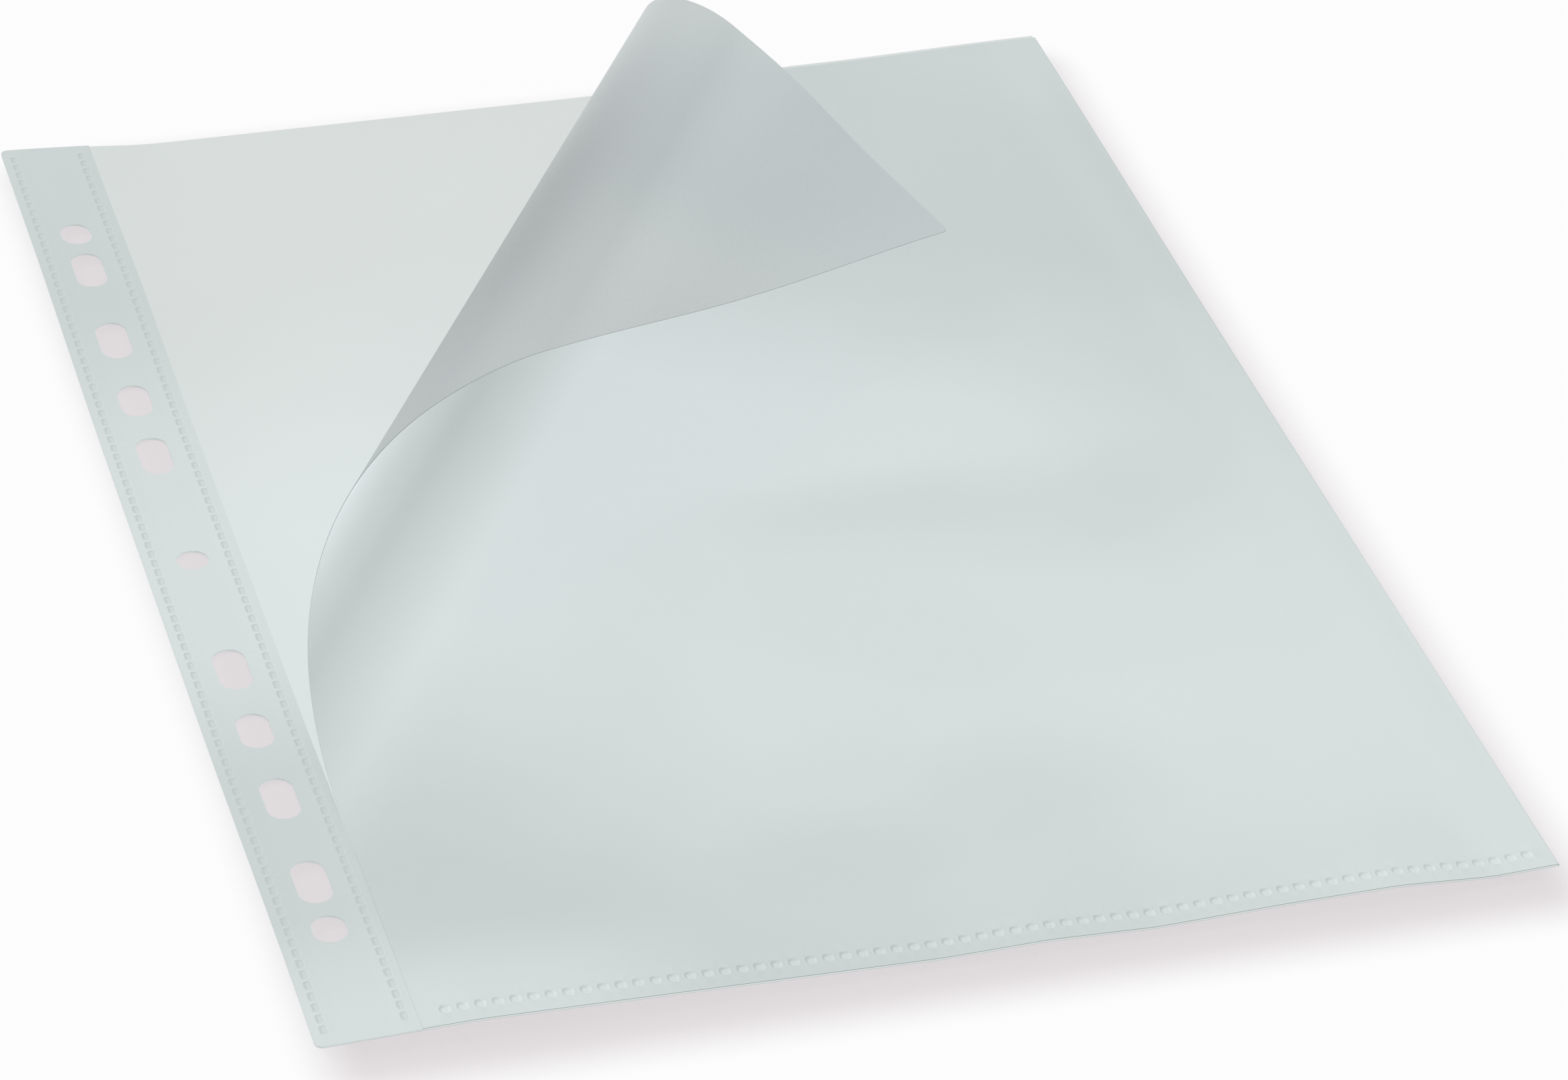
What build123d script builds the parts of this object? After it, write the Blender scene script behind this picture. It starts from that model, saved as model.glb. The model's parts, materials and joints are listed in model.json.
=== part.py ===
# Sheet protector: a punched pocket for one A4 page, lying on its back with the free corner rolled open.
# Millimetres. The origin is at the middle of the underside, +X runs to the folded edge,
# +Y to the open top edge and +Z up.
import os
from math import asin, cos, hypot, radians, sin

from build123d import *

os.makedirs("parts", exist_ok=True)

# Overall sheet
sheet_width = 230.0
sheet_height = 308.0
corner_radius = 1.5

# Films and the room between them
film_thickness = 0.12
strip_thickness = 0.16
pocket_gap = 0.30
strip_gap = 0.10

# Binding strip and the front film's two free edges
strip_width = 19.0
front_setback = 0.3
front_drop = 1.5

# Ring holes: a round one in the middle, then slots in pairs above and below it
hole_inset = 9.5
hole_width = 6.3
hole_middle_y = -2.0
slot_offsets = [37.0, 57.0, 79.0, 105.5, 120.0]
slot_lengths = [13.0, 11.0, 13.0, 13.0, 8.0]

# Weld spots
weld_spacing = 3.15
weld_end_margin = 2.2
bottom_weld_inset = 4.1
outer_weld_inset = 2.3
inner_weld_inset = 16.6
bottom_spot_width = 1.6
bottom_spot_length = 1.5
strip_spot_width = 0.9
strip_spot_length = 2.0

# Roll of the free corner: straight parallel bend lines, all with the same turn,
# closest together in the middle of the roll. Distances are counted from the corner.
roll_angle = 58.5
roll_start = 132.8
roll_length = 81.4
roll_turn_angle = 197.0
bend_count = 7
bend_clearance = 0.05

# Heights of the stack
strip_bottom = film_thickness + strip_gap
front_bottom = film_thickness + pocket_gap
front_top = front_bottom + film_thickness

# The fold along the right edge is half a tube, as high as the whole stack
fold_radius = front_top / 2
fold_inner_radius = pocket_gap / 2
fold_x = sheet_width / 2 - fold_radius

# Edges in the flat sheet
left_edge = -sheet_width / 2
top_edge = sheet_height / 2
bottom_edge = -sheet_height / 2
front_left = left_edge + strip_width + front_setback
front_top_edge = top_edge - front_drop
front_width = fold_x - front_left
front_height = front_top_edge - bottom_edge
front_diagonal = hypot(front_width, front_height)


def ring_holes():
    """Cut the line of ring holes out of the sketch in hand."""
    hole_x = left_edge + hole_inset
    with Locations((hole_x, hole_middle_y)):
        Circle(hole_width / 2, mode=Mode.SUBTRACT)
    for offset, length in zip(slot_offsets, slot_lengths):
        with Locations((hole_x, hole_middle_y - offset), (hole_x, hole_middle_y + offset)):
            SlotOverall(length, hole_width, rotation=90, mode=Mode.SUBTRACT)


# Back film, from the outer left edge to the start of the fold
with BuildPart() as back_sheet:
    with BuildSketch() as back_outline:
        with Locations((left_edge, 0)):
            Rectangle(fold_x - left_edge, sheet_height, align=(Align.MIN, Align.CENTER))
        fillet(back_outline.vertices().group_by(Axis.X)[0], corner_radius)
        ring_holes()
    extrude(amount=film_thickness)
back_sheet.part.label = "back_sheet"
export_step(back_sheet.part, "parts/back_sheet.step")

# Fold that joins the back film to the front film
with BuildPart() as right_fold:
    with BuildSketch(Plane.XZ.offset(-front_top_edge)):
        with Locations((fold_x, fold_radius)):
            Circle(fold_radius)
            Circle(fold_inner_radius, mode=Mode.SUBTRACT)
            Rectangle(fold_radius, 2 * fold_radius, align=(Align.MAX, Align.CENTER), mode=Mode.SUBTRACT)
    extrude(amount=front_height)
right_fold.part.label = "right_fold"
export_step(right_fold.part, "parts/right_fold.step")

# Binding strip on the back film's left margin, punched together with it
with BuildPart() as binding_strip:
    with BuildSketch(Plane.XY.offset(strip_bottom)) as strip_outline:
        with Locations((left_edge, 0)):
            Rectangle(strip_width, sheet_height, align=(Align.MIN, Align.CENTER))
        fillet(strip_outline.vertices().group_by(Axis.X)[0], corner_radius)
        ring_holes()
    extrude(amount=strip_thickness)
binding_strip.part.label = "binding_strip"
export_step(binding_strip.part, "parts/binding_strip.step")


# Two rows of weld spots hold the strip to the back film
strip_spots = int((sheet_height - 2 * weld_end_margin) // weld_spacing)
for row_name, row_inset in (("outer_strip_weld", outer_weld_inset), ("inner_strip_weld", inner_weld_inset)):
    with BuildPart() as strip_weld:
        with BuildSketch(Plane.XY.offset(film_thickness)):
            with Locations((left_edge + row_inset, 0)):
                with GridLocations(0, weld_spacing, 1, strip_spots):
                    SlotOverall(strip_spot_length, strip_spot_width, rotation=90)
        extrude(amount=strip_gap)
    strip_weld.part.label = row_name
    export_step(strip_weld.part, f"parts/{row_name}.step")

# One row closes the pocket along the bottom edge, between the back and front films
bottom_spots = int((front_width - 2 * weld_end_margin) // weld_spacing)
with BuildPart() as bottom_weld:
    with BuildSketch(Plane.XY.offset(film_thickness)):
        with Locations((front_left + front_width / 2, bottom_edge + bottom_weld_inset)):
            with GridLocations(weld_spacing, 0, bottom_spots, 1):
                Rectangle(bottom_spot_length, bottom_spot_width)
    extrude(amount=pocket_gap)
bottom_weld.part.label = "bottom_weld"
export_step(bottom_weld.part, "parts/bottom_weld.step")


def bend_distance(bend):
    """Distance from the free corner to a bend line, where its half of the turn is reached."""
    share = (bend + 0.5) / bend_count
    along = 0.5 - sin(asin(1 - 2 * share) / 3)
    return roll_start - roll_length * along


def film_band(far, near):
    """Draw the stretch of front film between two distances from its free corner.

    The sketch in hand has its origin at that corner and its X along the bend lines.
    """
    tilt = radians(roll_angle)
    middle_x = (front_width * cos(tilt) - front_height * sin(tilt)) / 2
    middle_y = -(front_width * sin(tilt) + front_height * cos(tilt)) / 2
    with Locations((middle_x, middle_y)):
        Rectangle(front_width, front_height, rotation=-roll_angle)
    with Locations((0, -(far + near) / 2)):
        Rectangle(2 * front_diagonal, far - near, mode=Mode.INTERSECT)


# Front film: the part that stays flat, from the bottom weld and the fold up to the first bend line
bend_distances = [bend_distance(bend) for bend in range(bend_count)]
corner_plane = Plane(
    origin=(front_left, front_top_edge, front_top),
    x_dir=(cos(radians(roll_angle)), sin(radians(roll_angle)), 0),
    z_dir=(0, 0, 1),
)
with BuildPart() as front_sheet:
    with BuildSketch(corner_plane):
        film_band(front_diagonal, bend_distances[0] + bend_clearance / 2)
    extrude(amount=-film_thickness)
front_sheet.part.label = "front_sheet"
export_step(front_sheet.part, "parts/front_sheet.step")

# Front film: the bands of the roll and the flat free corner, each bent up from the one before.
# A bend line lies on the film's upper face, the inside of the roll.
for bend, far in enumerate(bend_distances):
    is_corner = bend == bend_count - 1
    near = 0 if is_corner else bend_distances[bend + 1] + bend_clearance / 2
    bend_line = Location((0, -far, 0))
    turn = Location((0, 0, 0), (roll_turn_angle / bend_count, 0, 0))
    corner_plane = Plane(corner_plane.location * bend_line * turn * bend_line.inverse())
    with BuildPart() as flap_band:
        with BuildSketch(corner_plane):
            film_band(far - bend_clearance / 2, near)
        extrude(amount=-film_thickness)
    flap_band.part.label = "flap_corner" if is_corner else f"flap_band_{bend + 1:02d}"
    export_step(flap_band.part, f"parts/{flap_band.part.label}.step")
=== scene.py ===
import json
from collections import namedtuple
from math import cos, hypot, pi, radians, sin

import bpy
import numpy as np
from mathutils import Matrix, Vector
from mathutils.geometry import delaunay_2d_cdt

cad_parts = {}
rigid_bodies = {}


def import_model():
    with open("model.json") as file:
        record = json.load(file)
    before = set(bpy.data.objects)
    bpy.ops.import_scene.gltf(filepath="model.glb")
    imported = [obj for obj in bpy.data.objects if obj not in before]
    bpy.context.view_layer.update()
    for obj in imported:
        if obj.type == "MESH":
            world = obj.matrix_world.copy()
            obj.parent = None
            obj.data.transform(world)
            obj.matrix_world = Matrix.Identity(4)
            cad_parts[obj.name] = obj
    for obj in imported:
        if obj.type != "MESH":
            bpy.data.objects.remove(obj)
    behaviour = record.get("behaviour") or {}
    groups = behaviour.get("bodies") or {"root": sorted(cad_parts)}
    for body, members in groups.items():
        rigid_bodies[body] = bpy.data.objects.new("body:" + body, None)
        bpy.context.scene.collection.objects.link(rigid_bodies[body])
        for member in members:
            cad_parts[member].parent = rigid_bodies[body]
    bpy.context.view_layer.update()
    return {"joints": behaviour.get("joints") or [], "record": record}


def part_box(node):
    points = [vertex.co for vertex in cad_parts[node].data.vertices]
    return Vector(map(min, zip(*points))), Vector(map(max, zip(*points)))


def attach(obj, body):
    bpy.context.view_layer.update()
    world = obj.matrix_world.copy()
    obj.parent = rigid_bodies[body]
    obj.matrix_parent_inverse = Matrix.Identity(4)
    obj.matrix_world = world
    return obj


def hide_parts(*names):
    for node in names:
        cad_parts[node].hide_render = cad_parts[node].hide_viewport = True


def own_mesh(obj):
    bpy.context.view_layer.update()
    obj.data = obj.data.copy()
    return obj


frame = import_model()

# Back film: milky polypropylene, the lower half of one sheet that is folded along the right edge.
# It lies on the table, and its left margin is punched together with the binding strip.
# Shapes are worked out in millimetres, and METRE turns them into metres when their mesh is made.
METRE = 0.001


def node_box(node):
    """Lowest and highest corner of a CAD node, in millimetres."""
    low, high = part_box(node)
    return np.array(low) / METRE, np.array(high) / METRE


(left_edge, bottom_edge, _), (fold_x, top_edge, film_thickness) = node_box("back_sheet")
right_edge = node_box("right_fold")[1][0]
strip_edge = node_box("binding_strip")[1][0]
corner_radius = 1.5
corner_x = left_edge + corner_radius
flap_reach = 62.0


def smooth_step(start, end, value):
    """Goes softly from 0 at the start to 1 at the end. A pair such as bottom_wave_fade holds the two."""
    t = np.clip((value - start) / (end - start), 0, 1)
    return t * t * (3 - 2 * t)


bottom_wave_x = [left_edge, -86, -60, -2, 18, 38, 62, 84, 102, right_edge]
bottom_wave_height = [0.0, 1.0, 0.5, -0.7, -0.1, -0.8, 0.1, 0.5, -0.6, 0.0]
bottom_wave_fade = (2, 42)
corner_curl = 1.0
corner_curl_rise = (20, top_edge)


def lie(x, y):
    """How far the pocket stands off flat: its bottom edge waves and its upper right corner curls a little."""
    wave = np.interp(x, bottom_wave_x, bottom_wave_height)
    wave = wave * (1 - smooth_step(*bottom_wave_fade, y - bottom_edge))
    return wave + corner_curl * smooth_step(flap_reach, right_edge, x) * smooth_step(*corner_curl_rise, y)


strip_sag = 1.8
strip_sag_middle = -8.0
strip_sag_fade = (45, 130)
strip_sag_fade_x = (strip_edge, strip_edge + 45)
top_sag_rise = (60, 150)
top_sag_rise_x = (left_edge - 6, strip_edge + 18)
top_sag_fade_x = (10, flap_reach)


def back_lie(x, y):
    """The same for the back film and the strip, which sag to the table between the corners."""
    along_strip = 1 - smooth_step(*strip_sag_fade, np.abs(y - strip_sag_middle))
    along_strip = along_strip * (1 - smooth_step(*strip_sag_fade_x, x))
    along_top = smooth_step(*top_sag_rise_x, x) * (1 - smooth_step(*top_sag_fade_x, x))
    along_top = along_top * smooth_step(*top_sag_rise, y)
    return lie(x, y) - strip_sag * np.maximum(along_strip, along_top)


middle_hole = frame["record"]["mounts"][0]
hole_x, hole_middle_y = [c / METRE for c in middle_hole["pos_m"][:2]]
hole_radius = middle_hole["dims"]["r_mm"]
ring_holes = [(hole_middle_y, 0.0)]
for mount in frame["record"]["mounts"]:
    if mount["kind"] == "bolt_pattern":
        straight = mount["dims"]["slot_length_mm"] / 2 - hole_radius
        for side in (-1, 1):
            ring_holes.append((hole_middle_y + side * mount["dims"]["spacing_y_mm"] / 2, straight))


def long_hole(middle_x, middle_y, radius, straight, points_per_end=12):
    """Points round a slot along Y with half round ends. Straight is half the length of its sides."""
    turns = np.linspace(0, pi, points_per_end)
    upper = [(middle_x + radius * cos(t), middle_y + straight + radius * sin(t)) for t in turns]
    lower = [(middle_x - radius * cos(t), middle_y - straight - radius * sin(t)) for t in turns]
    if straight == 0:
        return upper[:-1] + lower[:-1]
    return upper + lower


def in_ring_hole(x, y, margin=0.0):
    """Whether a point lies in one of the ring holes, or within a margin of one."""
    return any(hypot(x - hole_x, max(abs(y - middle) - straight, 0)) < hole_radius + margin
               for middle, straight in ring_holes)


def walk(points, step):
    """The corners of an open line with further points between them, no more than a step apart."""
    line = []
    for (x0, y0), (x1, y1) in zip(points, points[1:]):
        count = max(1, int(np.ceil(hypot(x1 - x0, y1 - y0) / step)))
        line += [(x0 + (x1 - x0) * i / count, y0 + (y1 - y0) * i / count) for i in range(count)]
    return line + [points[-1]]


def rounded_corner(middle_x, middle_y, start, end, steps=5):
    """Points of a rounded corner, from one angle to another in degrees."""
    turns = [radians(start + (end - start) * i / steps) for i in range(steps + 1)]
    return [(middle_x + corner_radius * cos(t), middle_y + corner_radius * sin(t)) for t in turns]


def rounded_left_side(step):
    """The outline down a sheet's left edge with its two rounded corners, but for the first and last point."""
    upper_y = top_edge - corner_radius
    lower_y = bottom_edge + corner_radius
    side = rounded_corner(corner_x, upper_y, 90, 180)[1:]
    side += walk([(left_edge, upper_y), (left_edge, lower_y)], step)[1:]
    return side + rounded_corner(corner_x, lower_y, 180, 270)[1:-1]


def flat_grid(low_x, high_x, low_y, high_y, step):
    """Points of an even grid, kept off its own outline by half a step."""
    columns = max(2, round((high_x - low_x) / step))
    rows = max(2, round((high_y - low_y) / step))
    return [(low_x + (high_x - low_x) * (i + 0.5) / columns, low_y + (high_y - low_y) * (j + 0.5) / rows)
            for i in range(columns) for j in range(rows)]


def triangulate(outline, holes, inner):
    """Points and triangles of a flat sheet with holes, through all the inner points."""
    points = list(outline)
    edges = [(i, (i + 1) % len(outline)) for i in range(len(outline))]
    for hole in holes:
        first = len(points)
        points += hole
        edges += [(first + i, first + (i + 1) % len(hole)) for i in range(len(hole))]
    points += inner
    only_inside = 1
    same_point = 1e-5
    vectors = [Vector(p) for p in points]
    found, _, triangles, *_ = delaunay_2d_cdt(vectors, edges, [], only_inside, same_point)
    flat = np.array([(p.x, p.y) for p in found])
    faces = [tuple(f) for f in triangles if not (holes and in_ring_hole(*flat[list(f)].mean(axis=0)))]
    return flat, faces


def sheet_mesh(name, upper, lower, faces, materials, welds_and_painted_shading=0.0, deeper=0.0):
    """A closed thin sheet: an upper face, a lower face and the cut edge between them.

    The materials are those of the upper face, the lower face and the cut edge. The values given after the
    materials say, point by point and from 0 to 1, how far each face takes its material's colour for weld
    marks, painted light and painted shade. Deeper moves the film's own tone towards its outer one above 0 and
    towards its inner one below 0.
    """
    sharp_angle = radians(55)
    count = len(upper)
    points = np.concatenate([upper, lower]) * METRE
    lower_faces = [tuple(i + count for i in reversed(f)) for f in faces]
    sides = {(f[i], f[(i + 1) % len(f)]) for f in faces for i in range(len(f))}
    rim = [(a, a + count, b + count, b) for a, b in sorted(sides) if (b, a) not in sides]
    mesh = bpy.data.meshes.new(name)
    mesh.from_pydata(points.tolist(), [], list(faces) + lower_faces + rim)
    for material in materials:
        mesh.materials.append(material)
    kinds = [0] * len(faces) + [1] * len(faces) + [2] * len(rim)
    mesh.polygons.foreach_set("material_index", kinds)
    for attribute, values in (("welds_and_painted_shading", welds_and_painted_shading), ("deeper", deeper)):
        layer = mesh.attributes.new(attribute, "FLOAT", "POINT")
        layer.data.foreach_set("value", np.resize(values, 2 * count))
    mesh.shade_smooth()
    mesh.set_sharp_from_angle(angle=sharp_angle)
    mesh.validate()
    sheet = bpy.data.objects.new(name, mesh)
    bpy.context.collection.objects.link(sheet)
    return sheet


light_passed = (0.985, 0.988, 0.988)


def milky_plastic(name, inner, outer, oval, welds_and_painted_shading, roughness, grain_depth, glow=0.0):
    """Satin film that drifts from one tone inside an oval to another outside it, with soft clouds and grain.

    The oval has a middle, two half sizes and a turn in degrees, and a sheet's own deeper values move the tone
    further. The colour given after the oval is the film's colour on weld marks, and its painted light and
    painted shade on bends and dimple walls. Glow is the share of light that it lets through from behind.
    Shadows and bounced light pass through it, as they do through thin film.
    """
    middle_x, middle_y, half_x, half_y, turn = oval
    cloud_drift = 0.2
    gloss_drift = 0.06
    material = bpy.data.materials.new(name)
    material.use_nodes = True
    nodes = material.node_tree.nodes
    link = material.node_tree.links.new
    shader = nodes["Principled BSDF"]
    shader.inputs["IOR"].default_value = 1.49
    shader.inputs["Specular IOR Level"].default_value = 0.22
    place = nodes.new("ShaderNodeTexCoord")
    in_oval = nodes.new("ShaderNodeMapping")
    in_oval.vector_type = "TEXTURE"
    in_oval.inputs["Location"].default_value = (middle_x * METRE, middle_y * METRE, 0)
    in_oval.inputs["Rotation"].default_value = (0, 0, radians(turn))
    in_oval.inputs["Scale"].default_value = (half_x * METRE, half_y * METRE, 1)
    link(place.outputs["Object"], in_oval.inputs["Vector"])
    away = nodes.new("ShaderNodeVectorMath")
    away.operation = "LENGTH"
    link(in_oval.outputs["Vector"], away.inputs[0])
    deepening = nodes.new("ShaderNodeMapRange")
    deepening.interpolation_type = "SMOOTHSTEP"
    deepening.inputs["From Min"].default_value = 0.25
    link(away.outputs["Value"], deepening.inputs["Value"])
    clouds = nodes.new("ShaderNodeTexNoise")
    clouds.inputs["Scale"].default_value = 9.0
    clouds.inputs["Detail"].default_value = 3.0
    clouds.inputs["Roughness"].default_value = 0.45
    link(place.outputs["Object"], clouds.inputs["Vector"])
    drift = nodes.new("ShaderNodeMapRange")
    drift.inputs["From Min"].default_value = 0.36
    drift.inputs["From Max"].default_value = 0.64
    drift.inputs["To Min"].default_value = -cloud_drift
    drift.inputs["To Max"].default_value = cloud_drift
    link(clouds.outputs["Fac"], drift.inputs["Value"])
    moved = nodes.new("ShaderNodeAttribute")
    moved.attribute_name = "deeper"
    shift = nodes.new("ShaderNodeMath")
    link(drift.outputs["Result"], shift.inputs[0])
    link(moved.outputs["Fac"], shift.inputs[1])
    depth = nodes.new("ShaderNodeMath")
    depth.use_clamp = True
    link(deepening.outputs["Result"], depth.inputs[0])
    link(shift.outputs["Value"], depth.inputs[1])
    tone = nodes.new("ShaderNodeMix")
    tone.data_type = "RGBA"
    tone.inputs["A"].default_value = (*inner, 1)
    tone.inputs["B"].default_value = (*outer, 1)
    link(depth.outputs["Value"], tone.inputs["Factor"])
    welds_and_shading_amount = nodes.new("ShaderNodeAttribute")
    welds_and_shading_amount.attribute_name = "welds_and_painted_shading"
    colour = nodes.new("ShaderNodeMix")
    colour.data_type = "RGBA"
    colour.inputs["B"].default_value = (*welds_and_painted_shading, 1)
    link(welds_and_shading_amount.outputs["Fac"], colour.inputs["Factor"])
    link(tone.outputs["Result"], colour.inputs["A"])
    link(colour.outputs["Result"], shader.inputs["Base Color"])
    grain = nodes.new("ShaderNodeTexNoise")
    grain.inputs["Scale"].default_value = 900.0
    grain.inputs["Detail"].default_value = 2.0
    link(place.outputs["Object"], grain.inputs["Vector"])
    gloss = nodes.new("ShaderNodeMapRange")
    gloss.inputs["To Min"].default_value = roughness - gloss_drift
    gloss.inputs["To Max"].default_value = roughness + gloss_drift
    link(grain.outputs["Fac"], gloss.inputs["Value"])
    link(gloss.outputs["Result"], shader.inputs["Roughness"])
    relief = nodes.new("ShaderNodeBump")
    relief.inputs["Strength"].default_value = 0.25
    relief.inputs["Distance"].default_value = grain_depth * METRE
    link(grain.outputs["Fac"], relief.inputs["Height"])
    link(relief.outputs["Normal"], shader.inputs["Normal"])
    surface = shader.outputs["BSDF"]
    if glow:
        from_behind = nodes.new("ShaderNodeBsdfTranslucent")
        link(colour.outputs["Result"], from_behind.inputs["Color"])
        both = nodes.new("ShaderNodeMixShader")
        both.inputs["Fac"].default_value = glow
        link(surface, both.inputs[1])
        link(from_behind.outputs["BSDF"], both.inputs[2])
        surface = both.outputs["Shader"]
    paths = nodes.new("ShaderNodeLightPath")
    through = nodes.new("ShaderNodeBsdfTransparent")
    through.inputs["Color"].default_value = (*light_passed, 1)
    for ray in ("Is Diffuse Ray", "Is Shadow Ray"):
        pass_on = nodes.new("ShaderNodeMixShader")
        link(paths.outputs[ray], pass_on.inputs["Fac"])
        link(surface, pass_on.inputs[1])
        link(through.outputs["BSDF"], pass_on.inputs[2])
        surface = pass_on.outputs["Shader"]
    link(surface, nodes["Material Output"].inputs["Surface"])
    return material


single_film = milky_plastic(
    "single_film",
    inner=(0.725, 0.785, 0.78),
    outer=(0.68, 0.72, 0.705),
    oval=(-80, -40, 300, 150, 0),
    welds_and_painted_shading=(0.77, 0.82, 0.82),
    roughness=0.42,
    grain_depth=0.05,
)
cut_edge = milky_plastic(
    "cut_edge",
    inner=(0.70, 0.75, 0.745),
    outer=(0.64, 0.69, 0.685),
    oval=(0, 0, 150, 150, 0),
    welds_and_painted_shading=(0.70, 0.75, 0.745),
    roughness=0.5,
    grain_depth=0.03,
    glow=0.5,
)
top_hollow = 0.6
top_hollow_rise = (strip_edge, strip_edge + 12)
top_hollow_fade = (flap_reach, 40)
back_outline = walk([(corner_x, bottom_edge), (fold_x, bottom_edge)], step=4)
back_outline += walk([(fold_x, bottom_edge), (fold_x, top_edge)], step=5)[1:]
back_outline += [
    (x, y - top_hollow * smooth_step(*top_hollow_rise, x) * smooth_step(*top_hollow_fade, x))
    for x, y in walk([(fold_x, top_edge), (corner_x, top_edge)], step=4)[1:]
]
back_outline += rounded_left_side(step=5)
hole_outlines = [long_hole(hole_x, middle, hole_radius, straight) for middle, straight in ring_holes]
whole_back = flat_grid(left_edge + 1, fold_x - 1, bottom_edge + 1, top_edge - 3, step=5)
back_inner = [p for p in whole_back if not in_ring_hole(*p, margin=1.5)]
back_flat, back_faces = triangulate(back_outline, hole_outlines, back_inner)
back_height = back_lie(*back_flat.T)
back_film = sheet_mesh(
    "back_film",
    np.column_stack([back_flat, back_height + film_thickness]),
    np.column_stack([back_flat, back_height]),
    back_faces,
    [single_film, single_film, cut_edge],
)
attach(back_film, "pocket")
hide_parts("back_sheet")

# Folded edge: the same sheet turned over in a tight, heat set crease along the right edge.
# It joins the back film to the front film and runs as high as the front film does.
_, (_, fold_top_y, front_top) = node_box("right_fold")
fold_radius = right_edge - fold_x
fold_turns = np.linspace(-pi / 2, pi / 2, 9)
fold_rows = np.linspace(bottom_edge, fold_top_y, 63)


def fold_surface(radius):
    """Points of a half tube along the right edge, row by row."""
    return np.array([
        (fold_x + radius * cos(t), y, fold_radius + radius * sin(t) + float(lie(fold_x, y)))
        for y in fold_rows for t in fold_turns
    ])


def grid_faces(rows, columns):
    """Four sided faces of a grid of points that is listed row by row."""
    corners = [r * columns + c for r in range(rows - 1) for c in range(columns - 1)]
    return [(first + columns, first + columns + 1, first + 1, first) for first in corners]


# The two layer film's paler second colour lies on the floors of the bottom welds and beside the fold, and is
# painted light where the film starts to rise into the roll.
double_film = milky_plastic(
    "double_film",
    inner=(0.83, 0.905, 0.90),
    outer=(0.70, 0.765, 0.76),
    oval=(5, -30, 130, 400, 55),
    welds_and_painted_shading=(0.93, 0.995, 0.99),
    roughness=0.38,
    grain_depth=0.05,
    glow=0.41,
)
# The front film's cut edges are painted dark, as painted shade for the thin shaded line along them.
edge_painted_shade = milky_plastic(
    "edge_painted_shade",
    inner=(0.44, 0.48, 0.485),
    outer=(0.40, 0.44, 0.445),
    oval=(0, 0, 150, 150, 0),
    welds_and_painted_shading=(0.44, 0.48, 0.485),
    roughness=0.5,
    grain_depth=0.03,
)
folded_edge = sheet_mesh(
    "folded_edge",
    fold_surface(fold_radius),
    fold_surface(fold_radius - film_thickness),
    grid_faces(len(fold_rows), len(fold_turns)),
    [double_film, double_film, edge_painted_shade],
)
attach(folded_edge, "pocket")
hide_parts("right_fold")

# Binding strip: a second layer of thicker film on the left margin, punched for the rings.
# Two rows of short hot bars weld it down, and each leaves a small pressed dimple.
(_, _, strip_bottom), (_, _, strip_top) = node_box("binding_strip")
weld_spacing = 3.15
shortest_spot = 1.5
strip_dimple_depth = 0.07
dimple_rings = (-0.3, -0.12, 0.1, 0.3, 0.46, 0.62)
dimple_wall = (-0.1, 0.34)
dimple_rim_height = 0.3
dimple_rim_place = 0.42
dimple_rim_width = 0.16
SpotRow = namedtuple("SpotRow", "along_y line half_width half_length middles")


def spot_row(node, along_y):
    """A row of weld spots: its line, half the width and length of a spot, and the spots' middles along it."""
    low, high = node_box(node)
    across, along = (0, 1) if along_y else (1, 0)
    line = (low[across] + high[across]) / 2
    half_width = (high[across] - low[across]) / 2
    length = high[along] - low[along]
    gaps = round((length - shortest_spot) / weld_spacing)
    half_length = (length - gaps * weld_spacing) / 2
    middles = low[along] + half_length + weld_spacing * np.arange(gaps + 1)
    return SpotRow(along_y, line, half_width, half_length, middles)


def spot_ring(row, middle, grow):
    """Points round one weld spot of a row, that much outside it."""
    least_straight = 0.001
    straight = max(row.half_length - row.half_width, least_straight)
    ring = long_hole(row.line, middle, row.half_width + grow, straight, points_per_end=6)
    return ring if row.along_y else [(x, y) for y, x in reversed(ring)]


def spot_points(row):
    """Rings of points round each weld spot of a row, for the walls and the floor of its dimple."""
    points = []
    for middle in row.middles:
        for grow in dimple_rings:
            points += spot_ring(row, middle, grow)
        points.append((row.line, middle) if row.along_y else (middle, row.line))
    return points


def outside_spots(x, y, row):
    """How far each point lies outside the nearest weld spot of a row, less than 0 inside it."""
    across, along = (x, y) if row.along_y else (y, x)
    first, last = row.middles[0], len(row.middles) - 1
    nearest = np.clip(np.round((along - first) / weld_spacing), 0, last) * weld_spacing + first
    rounding = row.half_width * 0.5
    out_across = np.maximum(np.abs(across - row.line) - rounding, 0)
    out_along = np.maximum(np.abs(along - nearest) - row.half_length + rounding, 0)
    return np.hypot(out_across, out_along) - rounding


def dimple(outside):
    """Depth of a weld's dimple, from 1 on its floor to 0 round it, with a low melted rim."""
    rim = dimple_rim_height * np.exp(-((outside - dimple_rim_place) / dimple_rim_width) ** 2)
    return 1 - smooth_step(*dimple_wall, outside) - rim


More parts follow.
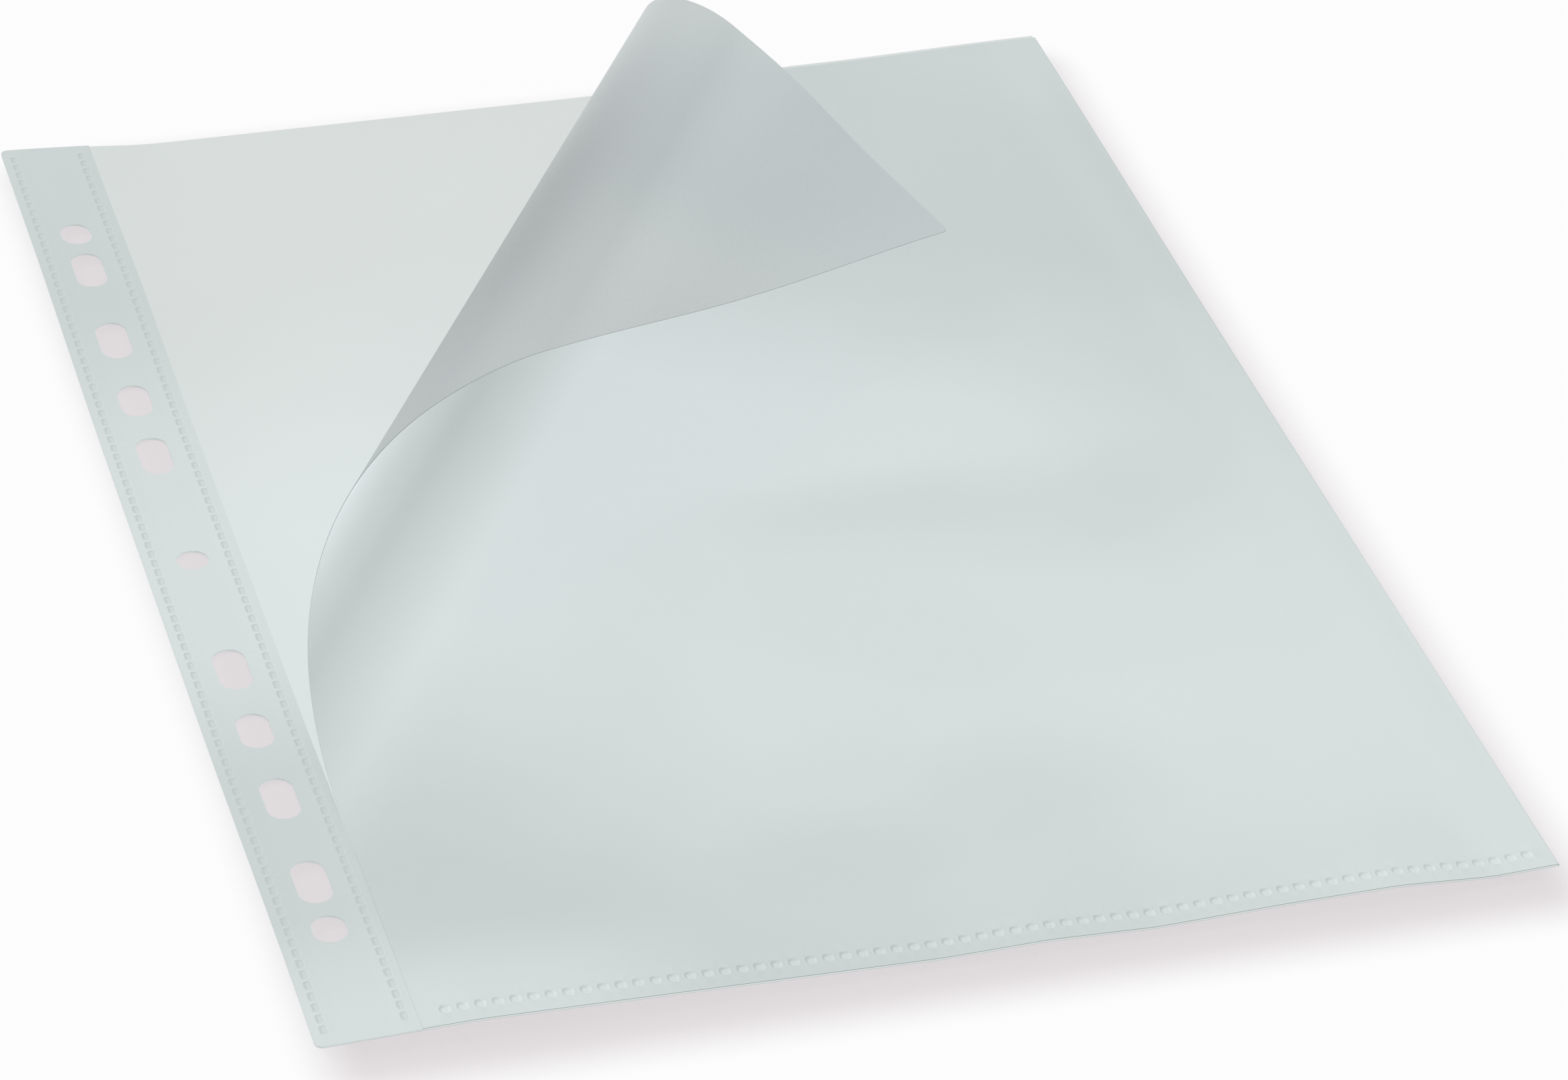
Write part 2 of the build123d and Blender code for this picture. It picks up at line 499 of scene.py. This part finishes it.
# Its darker second colour is painted shade on the walls of the weld dimples.
strip_film = milky_plastic(
    "strip_film",
    inner=(0.675, 0.74, 0.73),
    outer=(0.59, 0.65, 0.64),
    oval=(-105, -5, 300, 120, 0),
    welds_and_painted_shading=(0.52, 0.58, 0.575),
    roughness=0.36,
    grain_depth=0.06,
)
strip_welds = [spot_row("outer_strip_weld", along_y=True), spot_row("inner_strip_weld", along_y=True)]
strip_outline = walk([(corner_x, bottom_edge), (strip_edge, bottom_edge)], step=4)
strip_outline += walk([(strip_edge, bottom_edge), (strip_edge, top_edge)], step=4)[1:]
strip_outline += walk([(strip_edge, top_edge), (corner_x, top_edge)], step=4)[1:]
strip_outline += rounded_left_side(step=4)
strip_inner = [p for row in strip_welds for p in spot_points(row)]
between_welds = flat_grid(left_edge + 4.2, strip_edge - 4.0, bottom_edge + 1, top_edge - 1, step=3.2)
strip_inner += [p for p in between_welds if not in_ring_hole(*p, margin=0.9)]
strip_flat, strip_faces = triangulate(strip_outline, hole_outlines, strip_inner)
strip_x, strip_y = strip_flat.T
strip_lie = back_lie(strip_x, strip_y)
strip_outside = np.minimum(*(outside_spots(strip_x, strip_y, row) for row in strip_welds))
strip_dip = strip_dimple_depth * dimple(strip_outside)
wall_shade = 0.65
wall_shade_rise = (-0.32, -0.05)
wall_shade_fade = (0.05, 0.34)
# The walls of each dimple are painted darker, as painted shade.
strip_painted_wall_shade = wall_shade * smooth_step(*wall_shade_rise, strip_outside)
strip_painted_wall_shade = strip_painted_wall_shade * (1 - smooth_step(*wall_shade_fade, strip_outside))
deeper_below_middle = 0.65
deeper_stretch = (-20, -75)
paler_at_lower_end = 1.5
paler_stretch = (-90, bottom_edge)
strip_deeper = deeper_below_middle * smooth_step(*deeper_stretch, strip_y)
strip_deeper = strip_deeper - paler_at_lower_end * smooth_step(*paler_stretch, strip_y)
punched_strip = sheet_mesh(
    "punched_strip",
    np.column_stack([strip_flat, strip_lie + strip_top - strip_dip]),
    np.column_stack([strip_flat, strip_lie + strip_bottom]),
    strip_faces,
    [strip_film, strip_film, cut_edge],
    strip_painted_wall_shade,
    strip_deeper,
)
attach(punched_strip, "pocket")
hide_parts("binding_strip")

# Strip welds: two rows of spots where the hot bars melted the strip into the back film.
# Each is a small pad of fused film between the two layers, below its dimple.
weld = milky_plastic(
    "weld",
    inner=(0.72, 0.77, 0.765),
    outer=(0.66, 0.71, 0.71),
    oval=(0, 0, 200, 200, 0),
    welds_and_painted_shading=(0.72, 0.77, 0.765),
    roughness=0.3,
    grain_depth=0.03,
)


def weld_pads(name, row, height):
    """Pads of melted film on top of the back film, one for each spot of a row."""
    rings = [spot_ring(row, middle, 0) for middle in row.middles]
    size = len(rings[0])
    flat = np.array([p for ring in rings for p in ring])
    base = back_lie(*flat.T) + film_thickness
    faces = [tuple(range(i * size, (i + 1) * size)) for i in range(len(rings))]
    upper = np.column_stack([flat, base + height])
    lower = np.column_stack([flat, base])
    return sheet_mesh(name, upper, lower, faces, [weld, weld, weld])


strip_pads = [("outer_welds", "outer_strip_weld"), ("inner_welds", "inner_strip_weld")]
for row, (name, node) in zip(strip_welds, strip_pads):
    pads = weld_pads(name, row, strip_bottom - film_thickness)
    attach(pads, "pocket")
    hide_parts(node)

# Front film, flat part: the upper half of the folded sheet. It is welded down in one row along
# the bottom edge, and is free along the top and along the strip. It ends in a slanting seam,
# a little before the first bend line, where the rolled corner takes over.
(front_left, _, front_bottom), (_, front_top_y, _) = node_box("front_sheet")
bends = frame["joints"]
bend_axis = np.array(bends[0]["axis"])
to_corner = np.array([-bend_axis[1], bend_axis[0], 0.0])
free_corner = np.array([front_left, front_top_y, 0.0])
hinges = []
for bend in bends:
    from_corner = np.array(bend["pos_m"]) / METRE - free_corner
    hinges.append(np.array([from_corner @ to_corner, from_corner[2]]))
facets = [float(np.linalg.norm(b - a)) for a, b in zip(hinges, hinges[1:])]
flat_distances = [-hinges[0][0]]
for facet in facets:
    flat_distances.append(flat_distances[-1] - facet)
first_seam = flat_distances[0] + facets[0] / 2
bottom_weld = spot_row("bottom_weld", along_y=False)
bottom_dimple_depth = 0.24
puff_height = 1.1
puff_from_roll = (first_seam + 4, first_seam + 50)
puff_from_weld = (6, 45)
puff_from_fold = (0, 7)
puff_from_strip = (0, 40)
puff_from_top = (-10, 35)
# Where the front film starts to rise into the roll, it is painted paler, as painted light.
palest = 0.5
pale_rise = (98, 109)
pale_fade = (113, 137)
pale_fade_along = (0.2, 0.5)


def distance_to_corner(x, y):
    """Distance of a point of the flat film from its free corner, square to the bend lines."""
    return -((x - free_corner[0]) * to_corner[0] + (y - free_corner[1]) * to_corner[1])


def puff(x, y):
    """How far the empty pocket's front film stands off the back film in soft, shallow waves."""
    room = smooth_step(*puff_from_roll, distance_to_corner(x, y))
    room = room * smooth_step(*puff_from_weld, y - bottom_edge) * smooth_step(*puff_from_fold, fold_x - x)
    room = room * smooth_step(*puff_from_strip, x - front_left) * smooth_step(*puff_from_top, front_top_y - y)
    steep_wave = np.sin(x / 21 + y / 46)
    level_wave = np.sin(y / 27 - x / 60)
    return puff_height * room * (0.5 + 0.25 * steep_wave + 0.25 * level_wave)


def painted_light_stretch(distance, share):
    """Painted light where the film starts to rise into the roll: how much paler it is, along the
    lower half of the bend lines.

    Distance is from the free corner, and share runs along a bend line, from the strip side to the top.
    """
    pale = palest * smooth_step(*pale_rise, distance) * (1 - smooth_step(*pale_fade, distance))
    return pale * (1 - smooth_step(*pale_fade_along, share))


edge_reach = 0.5
rise = bend_axis[1] / bend_axis[0]
top_cut = (front_left + first_seam / -to_corner[0], front_top_y)
left_cut = (front_left - edge_reach, front_top_y - first_seam / to_corner[1] - edge_reach * rise)
front_outline = walk([(front_left - edge_reach, bottom_edge), (fold_x, bottom_edge)], step=3)
front_outline += walk([(fold_x, bottom_edge), (fold_x, front_top_y)], step=5)[1:]
front_outline += walk([(fold_x, front_top_y), top_cut], step=5)[1:]
front_outline += walk([top_cut, left_cut], step=5)[1:]
front_outline += walk([left_cut, (front_left - edge_reach, bottom_edge)], step=3)[1:-1]
front_inner = spot_points(bottom_weld)
above_weld = flat_grid(front_left + 0.5, fold_x - 2.5, bottom_edge + 6.2, front_top_y - 0.5, step=4)
front_inner += [p for p in above_weld if distance_to_corner(*p) > first_seam + 2.5]
crease_insets = (0.5, 1.1, 1.9)
crease_rows = np.linspace(bottom_edge + 7, front_top_y - 1, 76)
front_inner += [(fold_x - inset, y) for inset in crease_insets for y in crease_rows]
front_flat, front_faces = triangulate(front_outline, [], front_inner)
front_x, front_y = front_flat.T
front_lie = lie(front_x, front_y) + puff(front_x, front_y)
front_outside = outside_spots(front_x, front_y, bottom_weld)
front_lie = front_lie - bottom_dimple_depth * dimple(front_outside)
front_distance = distance_to_corner(front_x, front_y)
front_along = (front_x - free_corner[0]) * bend_axis[0] + (front_y - free_corner[1]) * bend_axis[1]
front_share = (front_along + front_distance * rise) / (front_distance * (rise + 1 / rise))
weld_paleness = 0.3
weld_pale_fade = (-0.3, 0.15)
fold_paleness = 0.14
fold_pale_rise = (98, 110)
# Paler on the floors of the bottom welds and beside the fold, and painted paler where the film starts to rise
# into the roll, as painted light.
front_welds_and_painted_light = weld_paleness * (1 - smooth_step(*weld_pale_fade, front_outside))
front_welds_and_painted_light = front_welds_and_painted_light + painted_light_stretch(front_distance, front_share)
front_welds_and_painted_light = front_welds_and_painted_light + fold_paleness * smooth_step(*fold_pale_rise, front_x)
paler_at_lower_left = 0.8
paler_downward = (30, 8)
paler_leftward = (-35, -75)
front_deeper = -paler_at_lower_left * smooth_step(*paler_downward, front_y - bottom_edge)
front_deeper = front_deeper * smooth_step(*paler_leftward, front_x)
# Four soft patches where the front film's tone is set deeper.
DarkerPatch = namedtuple("DarkerPatch", "x y half_width half_height deeper")
darker_patches = [
    DarkerPatch(28, -16, 42, 18, 0.36),
    DarkerPatch(68, -26, 50, 30, 0.36),
    DarkerPatch(34, -108, 30, 26, 0.3),
    DarkerPatch(-12, -122, 36, 18, 0.2),
]
patch_fade = (0.1, 1)
for patch in darker_patches:
    out = np.hypot((front_x - patch.x) / patch.half_width, (front_y - patch.y) / patch.half_height)
    front_deeper = front_deeper + patch.deeper * (1 - smooth_step(*patch_fade, out))
front_film = sheet_mesh(
    "front_film",
    np.column_stack([front_flat, front_lie + front_top]),
    np.column_stack([front_flat, front_lie + front_bottom]),
    front_faces,
    [double_film, double_film, edge_painted_shade],
    front_welds_and_painted_light,
    front_deeper,
)
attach(front_film, "pocket")
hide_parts("front_sheet")

# Bottom weld: one row of spots that closes the pocket along its lower edge.
# The front film is pressed down here until it meets the back film, with a thin pad of melted film between.
bottom_pads = weld_pads("bottom_welds", bottom_weld, front_bottom - film_thickness - bottom_dimple_depth)
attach(bottom_pads, "pocket")
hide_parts("bottom_weld")

# Rolled corner of the front film: the same film, lifted at the free corner and rolled back over itself.
# It bends along straight lines. The band from one line to the next lies in a curve, and each band's end
# runs on in a thin tongue inside the next, so that no gap opens.
# The lower face of the rolled film is painted darker than the front film, as painted shade from the shaded
# pocket behind it, and its darker second colour is painted shade along the outer side of the bend.
lifted_film_painted_shade = milky_plastic(
    "lifted_film_painted_shade",
    inner=(0.585, 0.635, 0.645),
    outer=(0.655, 0.71, 0.70),
    oval=(32, 78, 75, 60, 0),
    welds_and_painted_shading=(0.305, 0.33, 0.335),
    roughness=0.42,
    grain_depth=0.16,
)
bend_turn = radians(-bends[0]["range_deg"][0])
runs = [np.array([cos(i * bend_turn), sin(i * bend_turn)]) for i in range(len(bends) + 1)]
seams = [hinges[0] - runs[0] * facets[0] / 2]
seams += [(a + b) / 2 for a, b in zip(hinges, hinges[1:])]
seams.append(hinges[-1] + runs[-1] * facets[-1] / 2)
last_seam = flat_distances[-1] - facets[-1] / 2
bodies = [bends[0]["parent"]] + [bend["child"] for bend in bends]
to_bend = [0, 0.012] + list(np.linspace(0.06, 0.44, 7)) + [0.488, 0.5]
from_bend = [1 - share for share in reversed(to_bend)]
tongue = [0.5, 0.528]
tongue_tuck = 0.04
column_shares = [0, 0.002] + list(np.linspace(0.01, 0.99, 57)) + [0.998, 1]
edge_reach_rise = (first_seam - 40, first_seam)
lower_edge_hang = 2.0
top_edge_stand = 1.2
top_stand_from = 70.0
top_stand_length = 52.0
# The outer side of the bend is painted darker, as painted shade; the values below shape it.
outer_shade_rise = (48, 82)
outer_shade_fade = (94, 110)
outer_shade_faded = 0.65
outer_shade_at_strip = 0.8
outer_shade_gain = 0.2
outer_shade_gain_along = (0, 0.4)
outer_shade_loss = 0.4
outer_shade_loss_along = (0.5, 1)
RollRow = namedtuple("RollRow", "point run distance tuck")


def bend_rows(index, shares, tuck=0.0):
    """Rows of one bend: section point, direction along the film, distance from the free corner, and tuck.

    A share of 0 is the seam before the bend, and 1 the seam after it. Tuck is how much thinner the film is
    made there, on each face.
    """
    start, hinge, end = seams[index], hinges[index], seams[index + 1]
    before, after = np.linalg.norm(hinge - start), np.linalg.norm(end - hinge)
    rows = []
    for share in shares:
        point = start * (1 - share) ** 2 + hinge * 2 * share * (1 - share) + end * share ** 2
        run = (hinge - start) * (1 - share) + (end - hinge) * share
        distance = flat_distances[index] + before * (1 - share) ** 2 - after * share ** 2
        rows.append(RollRow(point, run / np.linalg.norm(run), distance, tuck))
    return rows


def sag(distance, share):
    """How far the free corner hangs down along its lower edge, less what it stands up along its top edge."""
    hang = lower_edge_hang * sin(pi * np.clip(1 - distance / last_seam, 0, 1)) ** 2 * (1 - share) ** 2
    along_top = np.clip((top_stand_from - distance) / top_stand_length, 0, 1)
    return hang - top_edge_stand * sin(pi * along_top) ** 2 * share ** 2


def roll_surface(rows, shares, depth):
    """Points of the rolled film, row by row, at a depth below its upper face."""
    points = []
    for (across, height), (run_across, run_height), distance, tuck in rows:
        reach = edge_reach / bend_axis[0] * smooth_step(*edge_reach_rise, distance)
        left_end = distance * rise + reach
        for share in shares:
            along = (1 - share) * -left_end + share * distance / rise
            under = depth - sag(distance, share) + tuck * (1 - 2 * depth / film_thickness)
            upward = np.array([0, 0, height - under * run_across])
            section = to_corner * (across + under * run_height) + upward
            points.append(free_corner + section + bend_axis * along)
    return np.array(points)


def painted_bend_shading(rows, shares):
    """Painted light and shade along the bend: the inner side is painted paler where it starts, the outer
    side darker.
    """
    distances = np.array([row.distance for row in rows])
    shares = np.array(shares)
    along = outer_shade_at_strip + outer_shade_gain * smooth_step(*outer_shade_gain_along, shares)
    along = along - outer_shade_loss * smooth_step(*outer_shade_loss_along, shares)
    bent = smooth_step(*outer_shade_rise, distances)
    bent = bent * (1 - outer_shade_faded * smooth_step(*outer_shade_fade, distances))
    shade = np.outer(bent, along).ravel()
    pale = painted_light_stretch(distances[:, None], shares[None, :]).ravel()
    return np.concatenate([pale, shade])


def rolled_band(name, rows, index, node):
    """A band of the rolled film. It rides on one body."""
    band = sheet_mesh(
        name,
        roll_surface(rows, column_shares, 0),
        roll_surface(rows, column_shares, film_thickness),
        grid_faces(len(rows), len(column_shares)),
        [double_film, lifted_film_painted_shade, edge_painted_shade],
        painted_bend_shading(rows, column_shares),
    )
    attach(band, bodies[index])
    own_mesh(band)
    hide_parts(node)


rolled_band("roll_start", bend_rows(0, to_bend) + bend_rows(0, tongue, tongue_tuck), 0, "front_sheet")
for index in range(1, len(bends)):
    band_rows = bend_rows(index - 1, from_bend) + bend_rows(index, to_bend[1:])
    band_rows += bend_rows(index, tongue, tongue_tuck)
    rolled_band(f"roll_{index}", band_rows, index, bodies[index])

# Free corner: the end of the rolled film, hanging back over the front with its own last bend.
# Nothing holds it, so its lower edge droops and its top edge stands up slightly.
tip_cut = 0.4
corner_rows = bend_rows(len(bends) - 1, from_bend)
for distance in np.linspace(last_seam, tip_cut, 16)[1:]:
    corner_point = seams[-1] + runs[-1] * (last_seam - distance)
    corner_rows.append(RollRow(corner_point, runs[-1], distance, tuck=0.0))
rolled_band("hanging_corner", corner_rows, len(bends), bodies[-1])

# Table: a plain white surface, just below the lowest sag of the strip. The soft shade that the pocket
# leaves on it is part of its colour, because most light passes through the film.
table_top = -2.1
shade_middle = (2.3, -6.5)
shade_half = (108.0, 150.0)
shade_fade = 15.0
shaded_white = (0.685, 0.645, 0.66)
plain_white = (0.92, 0.92, 0.92)
table_glow = 0.07
shine_through_film = 0.6
bpy.ops.mesh.primitive_plane_add(size=40, location=(0, 0, table_top * METRE))
table = bpy.context.object
table.name = "table"
table_white = bpy.data.materials.new("table_white")
table_white.use_nodes = True
nodes = table_white.node_tree.nodes
link = table_white.node_tree.links.new
paint = nodes["Principled BSDF"]
paint.inputs["Roughness"].default_value = 0.9
paint.inputs["Specular IOR Level"].default_value = 0.0
place = nodes.new("ShaderNodeTexCoord")
axes = nodes.new("ShaderNodeSeparateXYZ")
link(place.outputs["Object"], axes.inputs["Vector"])
away = nodes.new("ShaderNodeCombineXYZ")
for axis, middle, half in zip("XY", shade_middle, shade_half):
    shift = nodes.new("ShaderNodeMath")
    shift.operation = "SUBTRACT"
    shift.inputs[1].default_value = middle * METRE
    link(axes.outputs[axis], shift.inputs[0])
    size = nodes.new("ShaderNodeMath")
    size.operation = "ABSOLUTE"
    link(shift.outputs["Value"], size.inputs[0])
    beyond = nodes.new("ShaderNodeMath")
    beyond.operation = "SUBTRACT"
    beyond.inputs[1].default_value = half * METRE
    link(size.outputs["Value"], beyond.inputs[0])
    kept = nodes.new("ShaderNodeMath")
    kept.operation = "MAXIMUM"
    kept.inputs[1].default_value = 0
    link(beyond.outputs["Value"], kept.inputs[0])
    link(kept.outputs["Value"], away.inputs[axis])
distance = nodes.new("ShaderNodeVectorMath")
distance.operation = "LENGTH"
link(away.outputs["Vector"], distance.inputs[0])
fade = nodes.new("ShaderNodeMapRange")
fade.interpolation_type = "SMOOTHSTEP"
fade.inputs["From Max"].default_value = shade_fade * METRE
link(distance.outputs["Value"], fade.inputs["Value"])
cover = nodes.new("ShaderNodeMix")
cover.data_type = "RGBA"
cover.inputs["A"].default_value = (*shaded_white, 1)
cover.inputs["B"].default_value = (*plain_white, 1)
link(fade.outputs["Result"], cover.inputs["Factor"])
link(cover.outputs["Result"], paint.inputs["Base Color"])


def looked_at(tree):
    """1 for what the camera sees straight on, mirrored or through a film, and 0 for light on its way."""
    paths = tree.nodes.new("ShaderNodeLightPath")
    seen = paths.outputs["Is Camera Ray"]
    for ray in ("Is Glossy Ray", "Is Transmission Ray"):
        either = tree.nodes.new("ShaderNodeMath")
        either.operation = "MAXIMUM"
        tree.links.new(seen, either.inputs[0])
        tree.links.new(paths.outputs[ray], either.inputs[1])
        seen = either.outputs["Value"]
    return seen


glow = nodes.new("ShaderNodeMath")
glow.operation = "MULTIPLY"
glow.inputs[1].default_value = table_glow
link(looked_at(table_white.node_tree), glow.inputs[0])
paint.inputs["Emission Color"].default_value = (1, 1, 1, 1)
link(glow.outputs["Value"], paint.inputs["Emission Strength"])
# Seen through the film from above, the table is a painted glow of even light instead of its lit colour. It
# stands in for the light that reaches the film from below.
shine = nodes.new("ShaderNodeEmission")
shine.inputs["Strength"].default_value = shine_through_film
behind_film = nodes.new("ShaderNodeMixShader")
link(nodes.new("ShaderNodeLightPath").outputs["Is Transmission Ray"], behind_film.inputs["Fac"])
link(paint.outputs["BSDF"], behind_film.inputs[1])
link(shine.outputs["Emission"], behind_film.inputs[2])
link(behind_film.outputs["Shader"], nodes["Material Output"].inputs["Surface"])
table_white.cycles.emission_sampling = "NONE"
table.data.materials.append(table_white)

# Light: one broad soft lamp, high up behind the pocket on the left, and an even white room.
# It comes through the standing film from behind, and leaves the inside of the bend in soft shade.
lamp_from = Vector((-0.603, 0.369, 0.707))
room_light = 0.58
room_seen = 1.0
bpy.ops.object.light_add(type="SUN", rotation=lamp_from.to_track_quat("Z", "Y").to_euler())
lamp = bpy.context.object
lamp.data.energy = 1.8
lamp.data.angle = radians(14)
room = bpy.data.worlds.new("room")
bpy.context.scene.world = room
room.use_nodes = True
backdrop = room.node_tree.nodes["Background"]
backdrop.inputs["Color"].default_value = (1, 1, 1, 1)
level = room.node_tree.nodes.new("ShaderNodeMapRange")
level.inputs["To Min"].default_value = room_light
level.inputs["To Max"].default_value = room_seen
room.node_tree.links.new(looked_at(room.node_tree), level.inputs["Value"])
room.node_tree.links.new(level.outputs["Result"], backdrop.inputs["Strength"])

# Camera: a long lens from the front left, as the photograph was taken. Its place, in metres, and the two
# directions were worked out from the sheet's corners and ring holes in the photograph.
camera_place = Vector((-0.290573, -0.952899, 0.664806))
ahead = Vector((0.25162066, 0.78749702, -0.56261487))
rightward = Vector((0.95989599, -0.27732349, 0.04112626))
upward = rightward.cross(ahead)
camera_data = bpy.data.cameras.new("camera")
camera_data.sensor_width = 36
camera_data.lens = 140.06
camera_data.clip_end = 100
camera = bpy.data.objects.new("camera", camera_data)
bpy.context.collection.objects.link(camera)
turned = Matrix((rightward, upward, -ahead)).transposed().to_4x4()
camera.matrix_world = Matrix.Translation(camera_place) @ turned
bpy.context.scene.camera = camera
bpy.context.scene.view_settings.view_transform = "Standard"
